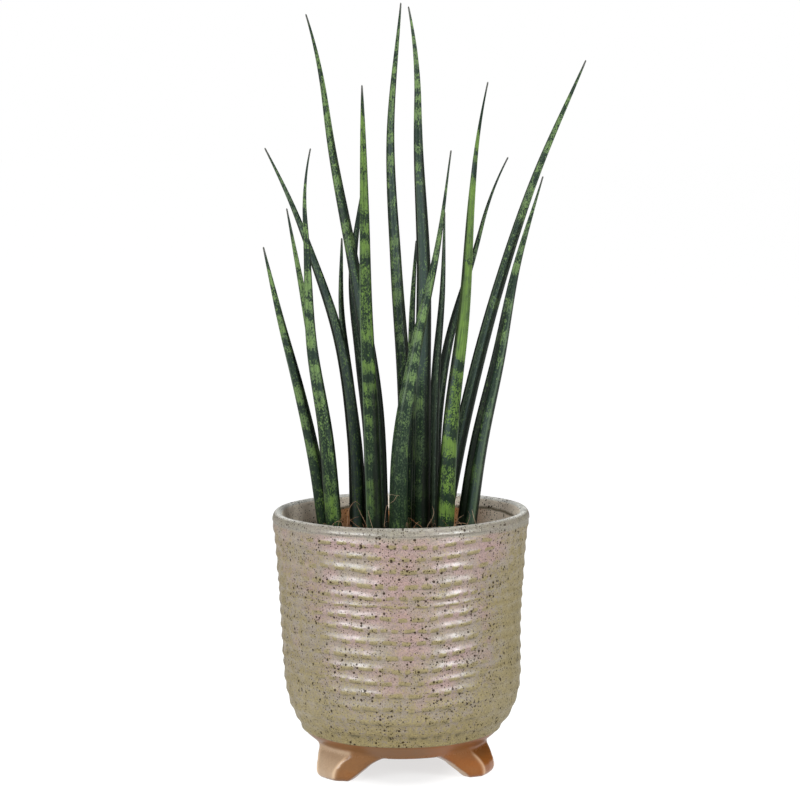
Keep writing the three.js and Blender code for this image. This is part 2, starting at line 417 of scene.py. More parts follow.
def specks(paint, cell, radius, least, crowd):
    """Iron specks: 1 in a speck, 0 outside. Each cell draws its own size, and those that draw
    less than least hold none; crowd, from -1 to 1, fills fewer or more of them."""
    wobble = paint.noise(paint.place, 0.7, 1, output="Color")
    bent = paint.vector("ADD", paint.place, paint.vector("MULTIPLY", wobble, [0.45 * MM] * 3))
    cells = {"Vector": bent, "Scale": 1 / (cell * MM)}
    distance = paint.node("ShaderNodeTexVoronoi", cells, "Distance")
    draw = paint.node("ShaderNodeSeparateColor", {"Color": distance.beside("Color")}, "Red")
    size = paint.step(least, least + 0.3, draw + 0.15 * crowd, 0, radius / cell)
    return paint.step(0, 0.07, size - distance)


# What the glaze needs to know at each vertex: olive stroke, dark lower edge of a stroke, greener
# or pinker glaze (with painted shade on the flanks), inside of the pot, height above the inner
# glaze's end, painted reflection on the rim's top, dull glaze.
GLAZE_MARKS = ("crest", "edge", "pool", "inside", "lining", "brim", "dry")
# Iron specks, largest first: size of a cell and greatest radius in millimetres, the least draw
# that makes a speck, and how dark they are.
SPECKS = [(2.3, 0.92, 0.66, 1), (1.25, 0.5, 0.5, 0.85), (0.85, 0.36, 0.34, 0.4)]


def glaze_material(pot):
    """Speckled reactive glaze: pink-grey, breaking to olive over the crests and in pools."""
    paint = Paint("speckled_glaze")
    crest, edge, pool, inside, lining, brim, dry = map(paint.attribute, GLAZE_MARKS)
    clouds, drift = paint.lumps(22, 3), paint.lumps(6)
    grain, tooth = paint.lumps(1.3, 2, 0.7), paint.lumps(0.75, 1)
    ragged = grain - 0.5

    pink = paint.step(0.35, 0.65, clouds) + paint.step(0.3, 0.7, grain, -0.3, 0.3)
    body = paint.mix(pink - pool, pot.stone, pot.blush)
    green = pool + paint.step(0.28, 0.72, grain, -0.45, 0.45)
    green += paint.step(0.3, 0.7, drift, -0.3, 0.3) + paint.step(0.3, 0.7, tooth, -0.25, 0.25)
    body = paint.mix(paint.step(0.05, 0.9, green), body, pot.olive)
    body = paint.mix(paint.step(0.15, 0.68, crest + 0.9 * ragged), body, pot.olive)
    band = paint.step(156.2 * MM, 157.6 * MM, paint.along("Z") + MM * drift)
    body = paint.mix(0.75 * band, body, pot.rim)
    # Painted reflection of the bright room on the rim's top.
    body = paint.mix(0.92 * brim, body, pot.brim)
    line = paint.step(0.35, 0.8, edge + 1.6 * ragged)
    body = paint.mix(0.8 * line, body, scaled(pot.olive, 0.32))
    mottle = paint.step(0.3, 0.7, 0.4 * grain + 0.6 * tooth)
    body = paint.tint(body, mottle, [0.72] * 3, [1.32] * 3)

    above = lining + 1.6 * (drift - 0.5)
    bare = inside * paint.step(-0.2, -1.4, above)
    lip = inside * paint.step(1.6, 0.2, above)
    body = paint.mix(0.8 * inside, body, pot.lining)
    body = paint.mix(0.85 * lip, body, scaled(pot.olive, 0.55))
    behind = paint.step(40 * MM, 66 * MM, paint.along("Y"))
    clay = paint.mix(behind, pot.lining, scaled(pot.clay, 2.6))
    clay = paint.tint(clay, grain, [0.7] * 3, (1.25, 1.22, 1.2))
    body = paint.mix(bare, body, clay)

    crowd = paint.step(0.35, 0.7, paint.lumps(14), -1, 1)
    iron = 0.0
    for cell, radius, least, darkness in SPECKS:
        iron = paint.calc("MAXIMUM", iron, darkness * specks(paint, cell, radius, least, crowd))
    body = paint.mix(0.95 * iron, body, pot.speck)

    rough = paint.step(0.3, 0.7, drift, 0.28, 0.42) + 0.3 * bare + 0.16 * dry
    shine = paint.step(-20 * MM, 20 * MM, paint.along("X"), 0.45, 0.38)
    shine *= paint.step(0.9, 0.1, iron, 0.2, 1) * paint.step(0, 1, dry, 1, 0.45)
    return paint.surface(
        Base_Color=body, Roughness=rough, IOR=1.6, Specular_IOR_Level=shine,
        Normal=paint.bump(0.5 * drift + 0.26 * grain - 0.12 * iron, 0.5, 0.45),
    )


def clay_material(pot):
    """Bare clay of the base under a clear gloss, redder towards the right; painted shade darkens its
    right, painted light lies on its faces that turn to the left, and painted highlights run along the
    feet's creases.
    """
    paint = Paint("clear_glazed_clay")
    side, height = paint.along("X"), paint.along("Z")
    neck = (14 * MM, 19 * MM, height)
    clouds, grain = paint.lumps(18, 3), paint.lumps(1.2, 3, 0.6)
    red = paint.step(-30 * MM, 45 * MM, side) + paint.step(0.35, 0.65, clouds, -0.25, 0.25)
    body = paint.mix(red, pot.clay, pot.rust)
    # Painted light: a pale tan where the base's faces turn to the left, towards the main light.
    left_glare = paint.attribute("bloom") * paint.step(0.2, 0.8, clouds, 0.75, 1.0)
    body = paint.mix(left_glare, body, pot.base_glare)
    body = paint.tint(body, grain, [0.82] * 3, [1.15] * 3)
    # Painted shade: the base is darker on its right, above the lowest part of the feet.
    right = paint.step(10 * MM, 34 * MM, side) * paint.step(8 * MM, 15 * MM, height)
    body = paint.mix(0.4 * right, body, scaled(pot.clay, 0.5))
    # Painted highlight along the feet's creases.
    body = paint.mix(0.42 * paint.attribute("crease"), body, scaled(pot.base_glare, 2.0))
    return paint.surface(
        Base_Color=body,
        Roughness=paint.step(0.3, 0.7, grain, 0.15, 0.24) + paint.step(*neck, 0, 0.16),
        Specular_IOR_Level=paint.step(*neck, 0.17, 0.13),
        Normal=paint.bump(0.6 * clouds + 0.04 * grain, 0.6, 0.3),
    )


def soil_material(soil):
    """Dark damp potting soil with lighter crumbs."""
    paint = Paint("potting_soil")
    crumbs = paint.lumps(1.6, 4, 0.7)
    body = paint.mix(paint.step(0.35, 0.7, crumbs), soil.earth, scaled(soil.earth, 3.4))
    lumps = paint.step(0.55, 0.75, paint.lumps(6), 0, 0.4)
    body = paint.mix(lumps, body, scaled(soil.coir, 0.35))
    return paint.surface(Base_Color=body, Roughness=0.95, Normal=paint.bump(crumbs, 0.9, 0.9))


def loose_material(name, dark, light, grain, shades, roughness, relief):
    """Bits lying on the soil: each takes its tone from the attribute "tone", dark to light."""
    paint = Paint(name)
    pattern = paint.lumps(*grain)
    body = paint.mix(paint.attribute("tone"), dark, light)
    body = paint.tint(body, pattern, *([shade] * 3 for shade in shades))
    return paint.surface(
        Base_Color=body, Roughness=roughness, Normal=paint.bump(pattern, *relief)
    )


def leaf_material(leaf):
    """Stippled cross-bands on a waxy skin, laid along each leaf by its own "rest" coordinates.

    The attribute "band" is above 0 in a light band and below 0 in a dark one: the higher it is,
    the more of the stipple comes out light."""
    paint = Paint("banded_leaf")
    rest = paint.attribute("rest", "Vector")
    zones, grain, streaks = (
        paint.noise(paint.vector("MULTIPLY", rest, (1, 1, lengthwise)), size, 2, roughness)
        for lengthwise, size, roughness in ((0.6, 4, 0.5), (0.65, 0.8, 0.6), (0.012, 0.5, 0.5))
    )
    mottled, haze = paint.attribute("mottled"), paint.attribute("haze")

    value = paint.attribute("band") * (1 - 0.75 * mottled) - 0.06 * mottled
    value += paint.step(0.3, 0.7, grain, -0.25, 0.23) + 0.6 * (zones - 0.5)
    tone = paint.attribute("lush") + 1.4 * (zones - 0.5) + 1.2 * (streaks - 0.5)
    light = paint.mix(paint.step(0, 1, tone), leaf.moss, leaf.bright)
    # Painted sheen: a pale bloom over the light bands and a blue-grey one over the dark.
    light = paint.mix(0.12 * haze, light, leaf.haze)
    # Painted sheen: the blue stripes lay blue-grey over the dark bands.
    blue = paint.calc("MAXIMUM", 0.8 * paint.attribute("blue"), 0.24 * haze)
    dark = paint.mix(blue, leaf.deep, leaf.sheen_slate)
    body = paint.mix(paint.step(-0.1, 0.15, value), dark, light)
    body = paint.tint(body, streaks, (0.55, 0.58, 0.58), (1.42, 1.4, 1.36))
    body = paint.mix(0.6 * paint.attribute("pale"), body, leaf.margin)
    # Painted shade: the black stripes darken the flanks that turn from the light to near-black.
    black = paint.attribute("black") * paint.step(0.2, 0.8, streaks, 0.95, 0.65)
    body = paint.mix(black, body, leaf.shade)
    # Painted shade in the bottoms of the furrows.
    body = paint.mix(0.7 * paint.attribute("groove"), body, leaf.shade)
    body = paint.mix(paint.attribute("tip"), body, leaf.dry)
    return paint.surface(
        Base_Color=body, Roughness=paint.step(0.3, 0.7, streaks, 0.36, 0.5),
        Specular_IOR_Level=0.11, Normal=paint.bump(0.5 * streaks + 0.12 * grain, 0.25, 0.6),
    )


# ---------------------------- pot

UNDERSIDE = 15.6
UNDERSIDE_RADIUS = 50.3
POT_FLOOR = 8
RIM_CREST_RADIUS = 77.3
RIM_ROUNDING = 3.2
OUTER_ROUNDING = 5.4
RIM_TILT, RIM_LEAN = 1.2, 1.3  # how far the rim rises to the back and to the right
BEAD_RISE = 1.2  # how much higher the glaze ends at the sides than in front
BULGE, BULGE_AT = 3.0, (46, 32)  # how far the right side swells, and its height and half-width
# Radius of the clay bowl below the glaze, by height.
BASE_RADIUS = Curve(
    [UNDERSIDE, 17, 18.8, 20.7, 22.7, 24.6, 26.5], [49.6, 50.9, 53, 55.4, 57.8, 60, 61.5]
)
WALL_RADIUS = Curve(
    [UNDERSIDE, 22, 29, 36.5, 46, 60, 82, 115, 142, 155],
    [UNDERSIDE_RADIUS, 57.3, 62.2, 66.6, 70.2, 72.7, 74.2, 76.2, 78.2, 80],
)
# The glaze's rounded lower end as (radius, height), the rows of the glazed body that lie hidden
# in the clay, and the rows of its inside as heights above the underside.
BEAD = [(59.9, 25.3), (60.7, 25.05), (61.5, 25.25), (62.0, 25.9), (62.15, 26.8), (62.1, 27.8)]
HIDDEN_ROWS = (18, 20.5, 23.5)
INNER_ROWS = (131.5, 129.5, 127, 123, 118, 110, 100, 75, 50, 34, 22, 14, 7, 0)
RIM_ROWS = 16
TUCK = 1.8  # how far the hidden rows keep inside the clay

# Lower edges of the thrown ridges: unevenly spaced, as the thrower's fingers left them.
RIDGES = [
    157.2, 149.8, 142.6, 134.4, 125.1, 117.9, 113.3, 105.7, 98.4, 90.1, 81.6, 73.0, 65.9, 57.5,
    48.9, 39.7, 31.8,
]
# Rows of vertices down one ridge, from its upper edge at 0 to the next ridge at 1.
RIDGE_ROWS = [0, 0.11, 0.22, 0.33, 0.44, 0.55, 0.66, 0.76, 0.87, 0.95]
FACE_TOP, FACE_END = 0.24, 0.66  # the sloping upper face of a ridge, as shares of the way down it
STROKE_RADIUS = 78  # mean radius of the crests that the strokes run round
STROKE_SWELL, CHIP_SWELL = 0.30, 0.07  # how far a stroke and a chip stand out
WANDER = 0.8  # share of a ridge's rise and fall that shows
WAVES = (2, 3, 5, 8, 13, 23)  # how often each wave of a ridge's wander runs round the pot
POT_SEED = 11

# Where the glaze ran thick or thin: bearing from the front in degrees and height, their
# half-widths in degrees and millimetres, and how much greener (above 0) or pinker it is there.
# The broad green patches on the flanks, at bearings 72 and -80, are painted shade.
GLAZE_POOLS = [
    (38, 146, 16, 5, -0.45), (52, 138, 12, 7, -0.4), (60, 122, 14, 6, -0.25),
    (28, 118, 10, 5, -0.2), (-22, 150, 30, 4, -0.4), (10, 152, 30, 3, -0.35),
    (-8, 128, 26, 8, -0.25), (12, 96, 20, 9, -0.25), (-6, 60, 16, 6, -0.2),
    (28, 84, 22, 7, -0.3), (-50, 60, 26, 16, 0.25), (70, 100, 18, 40, 0.2),
    (-70, 105, 20, 30, 0.12), (150, 120, 40, 30, -0.25), (-140, 100, 35, 30, -0.2),
    (72, 95, 24, 60, 0.85), (-80, 95, 18, 60, 0.15), (26, 135, 14, 7, -0.4),
    (36, 104, 12, 5, -0.45), (44, 76, 12, 5, -0.4), (22, 66, 9, 4, -0.3), (-20, 108, 12, 5, -0.25),
]

# How far the ridges climb towards the right of the front, by height, and the height at which
# the glaze inside gives way to bare clay, by compass direction.
RIDGE_CLIMB = Curve([28, 60, 90, 118, 150], [1.5, 3.2, 4.2, 2.6, 0.8])
LINING_EDGE = Curve(
    [0, 10, 45, 95, 122, 140, 200, 225, 330, 360],
    [157, 157, 158, 154, 156, 141, 141, 157, 156, 157],
)


def strokes(rng, sides, length, gap):
    """The olive strokes round one crest: at each side, how strong the stroke is from 0 to 1,
    and how far it has slipped down the ridge, as a share of the ridge."""
    around = math.tau * STROKE_RADIUS
    at = np.arange(sides) / sides * around
    strength, slip = np.zeros(sides), np.zeros(sides)
    place = rng.uniform(0, length)
    end = place + around - gap
    while place < end - 0.5 * length:
        size = min(length * rng.uniform(0.6, 1.5), end - place)
        depth = rng.uniform(0.65, 1)
        slant, drop = rng.uniform(-0.10, 0.10), rng.uniform(-0.05, 0.05)
        offset = (at - place) % around
        inside = smooth(-0.2, 1.6, offset) * smooth(size + 0.2, size - 1.6, offset)
        here = offset < size
        strength = np.where(here, np.maximum(strength, depth * inside), strength)
        slip = np.where(here, drop + slant * (offset / size - 0.5), slip)
        place += size + gap * rng.uniform(0.2, 1.5)
    return strength, slip


def thrown_ridges(pot):
    """For each ridge and side: strength and slip of the stroke, rise of the ridge, and chips."""
    rng = random.Random(POT_SEED)
    turn = np.arange(pot.sides) / pot.sides * math.tau
    shared = 0.55 * np.sin(3 * turn + 2.2) + 0.35 * np.sin(5 * turn)
    front = bearing_of(turn)
    climb = smooth(2, 48, front) * smooth(165, 70, front)
    marks, slips, rises = [], [], []
    for z in RIDGES:
        mark, slip = strokes(rng, pot.sides, pot.dash / MM, pot.dash_gap / MM)
        marks.append(mark)
        slips.append(slip)
        waves = [(n, rng.uniform(0, math.tau), rng.uniform(0.1, 0.38)) for n in WAVES]
        wander = sum(size * np.sin(n * turn + phase) for n, phase, size in waves)
        rises.append(shared + wander + RIDGE_CLIMB(z) * climb)
    rises[0] *= 0
    chips = np.array([[rng.gauss(0, 1) for _ in range(pot.sides)] for _ in RIDGES])
    for _ in range(2):
        chips = (np.roll(chips, 1, 1) + chips + np.roll(chips, -1, 1)) / 3
    return np.array(marks), np.array(slips), np.array(rises), chips


def glaze_pool(co, angle):
    """How green (above 0) or pink (below 0) the glaze is at each vertex; the greener, darker flanks are
    painted shade.
    """
    front = bearing_of(angle)
    z = co[:, 2]
    side = np.abs(np.sin(np.radians(front)))
    # Painted shade: greener, darker glaze towards the flanks as seen from the front.
    pool = 0.12 + 0.34 * smooth(90, 34, z) + 0.26 * smooth(0.45, 0.9, side) * smooth(158, 140, z)
    pool = pool + 0.4 * smooth(52, 26, z)
    for bearing, height, spread, rise, amount in GLAZE_POOLS:
        pool += amount * bump_of(wrap(front - bearing), 0, spread) * bump_of(z, height, rise)
    return pool


def pot_wall(pot):
    """The glazed body: one closed solid from the bead at the foot, over the rim, to the floor."""
    top = pot.height / MM
    hidden = [(0, UNDERSIDE + 1.2), (UNDERSIDE_RADIUS - 3.5, UNDERSIDE + 1.2)]
    hidden += [(float(BASE_RADIUS(z)) - TUCK, z) for z in HIDDEN_ROWS]
    outside = [(k, share) for k in range(1, len(RIDGES)) for share in RIDGE_ROWS][::-1]
    profile = hidden + BEAD
    start = len(profile)
    for k, share in outside:
        z = lerp(RIDGES[k - 1], RIDGES[k], share)
        profile.append((float(WALL_RADIUS(z)), z))
    rim_start = len(profile)
    arc = [lerp(0.03, 0.98, i / (RIM_ROWS - 1)) * math.pi for i in range(RIM_ROWS)]
    for a in arc:
        drop = OUTER_ROUNDING if a < math.pi / 2 else RIM_ROUNDING
        reach = RIM_CREST_RADIUS + RIM_ROUNDING * math.cos(a)
        profile.append((reach, top + drop * (math.sin(a) - 1)))
    inner_start = len(profile)
    for z in (UNDERSIDE + rise for rise in INNER_ROWS):
        profile.append((float(WALL_RADIUS(z)) - pot.wall / MM, z + POT_FLOOR))
    profile.append((0, UNDERSIDE + POT_FLOOR))

    bm = spun(profile, pot.sides)
    row_layer = bm.verts.layers.float["row"]
    rows = np.round([v[row_layer] for v in bm.verts]).astype(int)
    co, angle = places(bm)
    step = np.round(angle / math.tau * pot.sides).astype(int) % pot.sides
    in_bead = (rows >= len(hidden)) & (rows < start)
    on_wall = (rows >= start) & (rows < rim_start)
    in_rim = (rows >= rim_start) & (rows < inner_start)

    marks, slips, rises, chips = thrown_ridges(pot)
    ridge, down = np.array(outside)[np.clip(rows - start, 0, len(outside) - 1)].T
    ridge = ridge.astype(int)
    face = np.clip((down - FACE_TOP) / (FACE_END - FACE_TOP), 0, 1)
    rise = lerp(face, smooth(0, 1, face), 0.5) * (1 - smooth(0.74, 1.04, down))
    fade = smooth(20, 52, co[:, 2])
    front, right = np.abs(bearing_of(angle)), co[:, 0] > 0
    flank = smooth(36, 58, front) * smooth(140, 110, front)
    mark = marks[ridge, step] * lerp(1, np.where(right, 0.2, 0.42), flank)
    pitch = -np.diff(RIDGES, prepend=RIDGES[0] + 1)
    relief = math.tan(math.radians(pot.ridge_slope)) * (FACE_END - FACE_TOP) * pitch[ridge]
    relief *= lerp(0.85, 1, fade) * lerp(1, np.where(right, 0.6, 0.75), flank)
    swell = (relief + CHIP_SWELL * chips[ridge, step]) * rise
    swell += STROKE_SWELL * mark * smooth(0.55, 0.72, down) * (1 - smooth(0.88, 0.98, down))
    lift = lerp(rises[ridge - 1, step], rises[ridge, step], smooth(0.0, 0.8, down)) * fade
    radius = np.maximum(np.hypot(co[:, 0], co[:, 1]), 1)
    pool = glaze_pool(co, angle)
    dry = np.maximum(smooth(44, 74, front), 0.85 * smooth(52, 30, co[:, 2]))

    co[:, :2] *= np.where(on_wall, 1 + swell / radius, 1)[:, None]
    co[:, 2] += np.where(on_wall, WANDER * lift, 0)
    bulge = BULGE * bump_of(co[:, 2], *BULGE_AT) * smooth(24, 36, co[:, 2])
    co[:, 0] += np.where(in_bead | on_wall, bulge * smooth(0.2, 1, np.cos(angle)), 0)
    lifted = np.where(in_bead, BEAD_RISE * smooth(0.45, 0.92, np.abs(np.cos(angle))), 0)
    co[:, 2] += lifted
    co[:, :2] *= (1 + 0.5 * lifted / radius)[:, None]
    sway = 0.15 * np.sin(3 * angle + 1) + 0.09 * np.sin(7 * angle)
    co[:, 2] += np.where(in_rim, sway - 0.45, 0)
    tilt = RIM_TILT * (1 + co[:, 1] / RIM_CREST_RADIUS)
    tilt += RIM_LEAN * smooth(-0.2, 1, co[:, 0] / RIM_CREST_RADIUS)
    co[:, 2] += tilt * smooth(125, 158, co[:, 2])
    move(bm, co)

    at = down - slips[ridge, step]
    crest = np.where(on_wall, smooth(0.54, 0.66, at) * (1 - smooth(0.90, 1.0, at)) * mark, 0)
    crest = np.where(in_bead, 0.4, crest)
    edge = np.where(on_wall, bump_of(at, 0.95, 0.06) * mark, 0)
    inside = (rows >= inner_start - 3).astype(float)
    lining = co[:, 2] - LINING_EDGE(np.degrees(angle) % 360)
    across = np.interp(rows - rim_start, range(RIM_ROWS), np.degrees(arc))
    # Painted reflection on the rim's top, weaker at the front.
    brim = in_rim * smooth(48, 80, across) * smooth(165, 140, across)
    brim *= lerp(0.25, 1, smooth(-0.95, -0.3, np.sin(angle)))
    found = zip(GLAZE_MARKS, (crest, edge, pool, inside, lining, brim, dry))
    finish_piece(bm, "pot_glazed_body", glaze_material(pot), ["pot"], found)


FOOT_ANGLES = [97.2, 218.2, 338]
# A foot, level by level: height, reach outwards and inwards from the axis, half-widths of
# its outer face and of the whole foot, and how far its flanks fall back from the outer face.
FOOT_LEVELS = [
    (0, 57.6, 44, 7.2, 13.2, 6.0), (1.2, 59.4, 42.5, 8.0, 15.2, 7.0),
    (3.5, 60.1, 41, 9.2, 17.6, 8.8), (7, 59.6, 37, 10.0, 20.2, 12.5),
    (11, 57.9, 33, 12.0, 24, 14.2), (14.5, 55.4, 26, 14.4, 29, 15),
    (18, 52.4, 20, 16, 35, 17), (22, 52, 16, 18, 39, 18),
]
FOOT_HEIGHTS, *FOOT_SIZES = zip(*FOOT_LEVELS)
FOOT_CURVES = [Curve(FOOT_HEIGHTS, sizes) for sizes in FOOT_SIZES]
FOOT_CORNERS = [0, 0.26, 0.55, 0.82, 1]  # of half its outline, from the outer middle inwards
BOWL_SIDES = 160
BOWL_ROWS = (17, 18, 20, 22, 24, 25.5, 26.5)
FOOT_SIDES, FOOT_ROWS = 48, 22
BASE_VOXEL = 0.75
BASE_SMOOTHING = 9
FILLET_SMOOTHING = 22
FILLET_SPREAD = 42  # degrees either side of a foot
FILLET_LOW, FILLET_HIGH = 9, 24
STANDING = 0.3  # vertices below this height stay on the ground


def foot(bm, pattern, angle):
    """Adds one splayed lug to bm: a flat outer face, flanks that fall back, and a narrower heel."""
    turn = Matrix.Rotation(math.radians(angle), 3, "Z")
    for vert in copy_in(bm, pattern):
        z = vert.co.z * FOOT_HEIGHTS[-1]
        outer, inner, face, width, fall = (float(curve(z)) for curve in FOOT_CURVES)
        way = abs(math.atan2(vert.co.y, vert.co.x)) / math.pi
        reach = np.interp(way, FOOT_CORNERS, [outer, outer - 0.5, outer - fall, inner + 2, inner])
        aside = np.interp(way, FOOT_CORNERS, [0, face, width, 0.8 * width, 0])
        vert.co = turn @ Vector((reach, math.copysign(aside, vert.co.y), z))


def near_foot(place):
    """Whether a place on the base lies where a foot runs into the bowl."""
    around = math.degrees(math.atan2(place.y, place.x))
    return min(abs(wrap(around - angle)) for angle in FOOT_ANGLES) < FILLET_SPREAD


def foot_glaze(bm):
    """Painted light where the base's faces turn to the left, towards the main light, and painted
    highlights along the creases of the feet.
    """
    co, angle = places(bm)
    normals = np.array([v.normal for v in bm.verts])
    lit = np.where(co[:, 0] > 0, 0.12, 0.30)
    bloom = smooth(lit, lit + 0.45, -normals[:, 0]) * smooth(22, 17, co[:, 2])
    reach, _, face, *_ = (curve(co[:, 2]) for curve in FOOT_CURVES)
    radius = np.hypot(co[:, 0], co[:, 1])
    low = smooth(19, 12, co[:, 2]) * smooth(0.5, 2.5, co[:, 2])
    # Painted highlight: a band along each foot's crease.
    crease = np.zeros(len(co))
    for degrees in FOOT_ANGLES:
        turn = angle - math.radians(degrees)
        out, aside = radius * np.cos(turn), np.abs(radius * np.sin(turn))
        crease = np.maximum(crease, low * bump_of(aside, 0.9 * face, 1.3) * smooth(-5, -2, out - reach))
    return [("bloom", bloom), ("crease", crease)]


def pot_base(pot):
    """Clay base and three feet, fused by a voxel remesh and smoothed where they meet."""
    profile = [(0, UNDERSIDE - 0.3), (float(BASE_RADIUS(UNDERSIDE)), UNDERSIDE - 0.3)]
    profile += [(float(BASE_RADIUS(z)) + 0.1, z) for z in BOWL_ROWS]
    profile += [(61.7, 28.2), (54, 28.2), (49, 23.5), (0, 22)]
    bowl = as_mesh(spun(profile, BOWL_SIDES), "bowl_pattern")
    pattern = as_mesh(rod(FOOT_SIDES, FOOT_ROWS), "foot_pattern")
    bm = bmesh.new()
    for angle in FOOT_ANGLES:
        foot(bm, pattern, angle)
    bm.from_mesh(bowl)
    mesh = as_mesh(bm, "pot_base_rough")
    rough = add_object("pot_base_rough", mesh)
    fuse = rough.modifiers.new("fuse", "REMESH")
    fuse.mode = "VOXEL"
    fuse.voxel_size = BASE_VOXEL
    bm = bmesh.new()
    bm.from_mesh(rough.evaluated_get(bpy.context.evaluated_depsgraph_get()).to_mesh())
    rough.to_mesh_clear()
    bpy.data.objects.remove(rough)
    for used in (mesh, pattern, bowl):
        bpy.data.meshes.remove(used)
    free = [v for v in bm.verts if v.co.z > STANDING]
    fillets = [v for v in free if FILLET_LOW < v.co.z < FILLET_HIGH and near_foot(v.co)]
    for verts, passes in ((free, BASE_SMOOTHING), (fillets, FILLET_SMOOTHING)):
        for _ in range(passes):
            bmesh.ops.smooth_vert(
                bm, verts=verts, factor=0.5, use_axis_x=True, use_axis_y=True, use_axis_z=True
            )
    for vert in bm.verts:
        vert.co.z = max(vert.co.z, 0)
    bm.normal_update()
    finish_piece(bm, "pot_base", clay_material(pot), ["pot"], foot_glaze(bm))


# ---------------------------- soil

MOUND_RADIUS = 34
SOIL_EDGE = 71.9
# The soil's hidden flank against the pot, from the floor up: radius and height.
SOIL_FLANK = [(52, 24), (60, 33), (65, 42), (67.6, 60), (69, 90), (70.3, 120), (71.7, 138)]
SOIL_SIDES = 200
SOIL_RINGS = 64
SOIL_BOTTOM, SOIL_TOP = 24, 139  # the top is crumbly above the second height
CHIP_SEED, FIBRE_SEED = 5, 23
CRUMBLY_REACH = 70  # beyond this radius the soil is smoother
FIBRE_REACH, STREWN_REACH = 66, 69  # how far out fibres start, and how far out anything lies


def soil_height(soil, radius):
    fall = smooth(MOUND_RADIUS, SOIL_EDGE, radius)
    return float(lerp(soil.mound / MM, soil.at_wall / MM, fall))


def soil_relief(x, y):
    """Rise and fall of the crumbly top."""
    point = Vector((x, y, 0))
    lumps = noise.noise(point / 9) * 1.1 + noise.noise(point / 3.5) * 0.7
    return lumps + noise.noise(point / 1.4) * 0.35


def soil_bed(soil):
    """The soil as a closed solid that fills the pot."""
    rings = [SOIL_EDGE * i / SOIL_RINGS for i in range(SOIL_RINGS, 0, -1)]
    profile = [(0, SOIL_BOTTOM), *SOIL_FLANK]
    profile += [(radius, soil_height(soil, radius)) for radius in rings]
    profile.append((0, soil.mound / MM))
    bm = spun(profile, SOIL_SIDES)
    for vert in bm.verts:
        if vert.co.z > SOIL_TOP:
            at_wall = math.hypot(vert.co.x, vert.co.y) >= CRUMBLY_REACH
            vert.co.z += soil_relief(vert.co.x, vert.co.y) * (0.4 if at_wall else 1)
    finish_piece(bm, "soil_surface", soil_material(soil), ["soil"])


def soil_chips(soil):
    """Bark chips and crumbs lying on the soil."""
    rng = random.Random(CHIP_SEED)
    grown = bmesh.new()
    bmesh.ops.create_icosphere(grown, subdivisions=1, radius=1)
    pattern = as_mesh(grown, "chip_pattern")
    bm = bmesh.new()
    tones = []
    for _ in range(soil.chips):
        radius = STREWN_REACH * math.sqrt(rng.random())
        angle = rng.uniform(0, math.tau)
        x, y = radius * math.cos(angle), radius * math.sin(angle)
        size = rng.uniform(0.5, 1.6)
        shape = Matrix.Diagonal((size * rng.uniform(1, 2.2), size, size * rng.uniform(0.35, 0.7)))
        tilt = [Matrix.Rotation(rng.uniform(-0.4, 0.4), 3, axis) for axis in "XY"]
        turn = Matrix.Rotation(rng.uniform(0, math.tau), 3, "Z")
        z = soil_height(soil, radius) + soil_relief(x, y) + 0.2 * size
        tone = rng.random() ** 2 * 0.5
        for vert in copy_in(bm, pattern):
            rough = 1 + rng.uniform(-0.22, 0.22)
            vert.co = turn @ tilt[0] @ tilt[1] @ shape @ (vert.co * rough) + Vector((x, y, z))
            tones.append(tone)
    bpy.data.meshes.remove(pattern)
    bark = loose_material(
        "bark_chip", scaled(soil.earth, 1.6), soil.coir, (0.9, 3), (0.5, 1.3), 0.9, (0.3, 0.8)
    )
    piece = finish_piece(bm, "soil_chips", bark, ["soil"], [("tone", tones)])
    piece.data.shade_flat()


# Fibres that stand up between the leaves at the front: points in millimetres (x, y, z) from
# the pot's axis, thickness, and tone from orange (0) to straw (1).
STANDING_FIBRES = [
    ([(-33, -48, 147), (-32.5, -49, 160), (-32, -50, 169.4), (-28, -51, 175.2),
      (-25, -51, 173)], 0.13, 0.45),
    ([(-27, -50, 173), (-25, -51, 169), (-22.5, -52, 164), (-19, -51, 156)], 0.12, 0.5),
    ([(-34, -50, 150), (-33, -52, 161), (-29, -53, 165), (-25.6, -53, 166.2)], 0.11, 0.3),
    ([(-32, -52, 165), (-28, -53, 161.6), (-22, -53, 157), (-16, -52, 150)], 0.11, 0.2),
    ([(-16, -50, 148), (-17, -52, 158), (-19, -52, 165), (-20, -52, 170)], 0.12, 0.75),
    ([(-11, -31, 147), (-10, -31, 160), (-8.8, -31, 169.6), (-4.5, -31, 172.8),
      (-2.4, -31.5, 176.4), (-0.8, -31, 176)], 0.12, 0.65),
    ([(-9, -31, 176.6), (-5, -31.5, 176.8), (-2, -31.5, 176)], 0.10, 0.85),
    ([(5.6, -54, 165.4), (9, -55, 162.6), (13, -55, 159.5), (18, -54, 150)], 0.15, 0.1),
    ([(19.1, -50, 172), (20, -51, 168.8), (18.8, -52, 164.5), (16, -52, 160),
      (13, -50, 149)], 0.15, 0.75),
    ([(43.3, -45, 169.5), (44.4, -47, 165), (45.6, -48, 160), (46, -47, 148)], 0.19, 0.85),
    ([(28, -54, 152), (32, -56, 161), (36, -56, 162.6), (41, -55, 161), (44, -53, 152)], 0.15, 0.6),
    ([(31, -50, 150), (34, -51, 163), (38, -52, 167)], 0.09, 0.7),
    ([(38, -50, 149), (40, -51, 160), (42, -51, 166), (41, -50, 169)], 0.09, 0.5),
    ([(-46, -44, 149), (-42, -48, 160), (-37, -50, 163), (-34, -49, 158)], 0.15, 0.35),
    ([(-40, -46, 148), (-38, -49, 161), (-35, -50, 167)], 0.14, 0.15),
]
